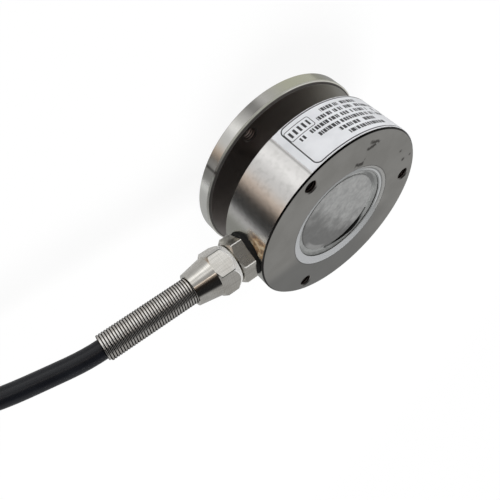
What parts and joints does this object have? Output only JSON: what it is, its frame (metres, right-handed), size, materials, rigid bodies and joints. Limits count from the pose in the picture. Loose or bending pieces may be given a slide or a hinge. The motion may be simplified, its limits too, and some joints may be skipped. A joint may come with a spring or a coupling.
{
  "type": "flange load cell",
  "caption": "Round flange load cell: a load plate on a narrow neck under a sensing ring with a sealed recess, a cable gland with spring guard, and a put-away cable.",
  "frame": {"origin": "centre of the load plate's outer face, which the cell stands on", "axes": "+Z along the cell's axis from the load plate to the mounting face, +X along the cable gland"},
  "size_m": [0.206, 0.0819, 0.051],
  "materials": {
    "nickel_plate": "satin nickel on turned steel",
    "cover_steel": "fine turned face",
    "sealant": "cured grey sealant",
    "label_film": "silver film with a black border",
    "gauge_foil": "polyimide foil",
    "tinned_wire": "tinned",
    "board": "green laminate",
    "resistor_ceramic": "matt black",
    "screw_steel": "zinc plated",
    "washer_rubber": "matt",
    "gland_nickel": "bright nickel",
    "sleeve_rubber": "matt",
    "spring_steel": "drawn wire",
    "core_mixed": "insulated cores, one colour each",
    "cable_jacket": "black jacket with a soft sheen",
    "tie_plastic": "moulded",
    "shrink_sleeve": "shrink tube",
    "core_red": "insulation",
    "core_black": "insulation",
    "core_green": "insulation",
    "core_white": "insulation",
    "screen_wire": "tinned braid, twisted"
  },
  "bodies": {
    "root": {"elastic_body": "nickel_plate", "cover_disc": "cover_steel", "sealing_bead": "sealant", "label": "label_film", "strain_gauges": "gauge_foil", "gauge_leads": "tinned_wire", "terminal_board": "board", "trim_resistors": "resistor_ceramic", "board_screw": "screw_steel", "gland_washer": "washer_rubber", "gland_body": "gland_nickel", "gland_sleeve": "sleeve_rubber", "gland_nut": "gland_nickel", "relief_spring": "spring_steel", "inner_cores": "core_mixed", "cable": "cable_jacket", "cable_coil": "cable_jacket", "coil_tie": "tie_plastic", "end_sleeve": "shrink_sleeve", "core_red": "core_red", "core_black": "core_black", "core_green": "core_green", "core_white": "core_white", "screen_tail": "screen_wire"}
  },
  "joints": []
}
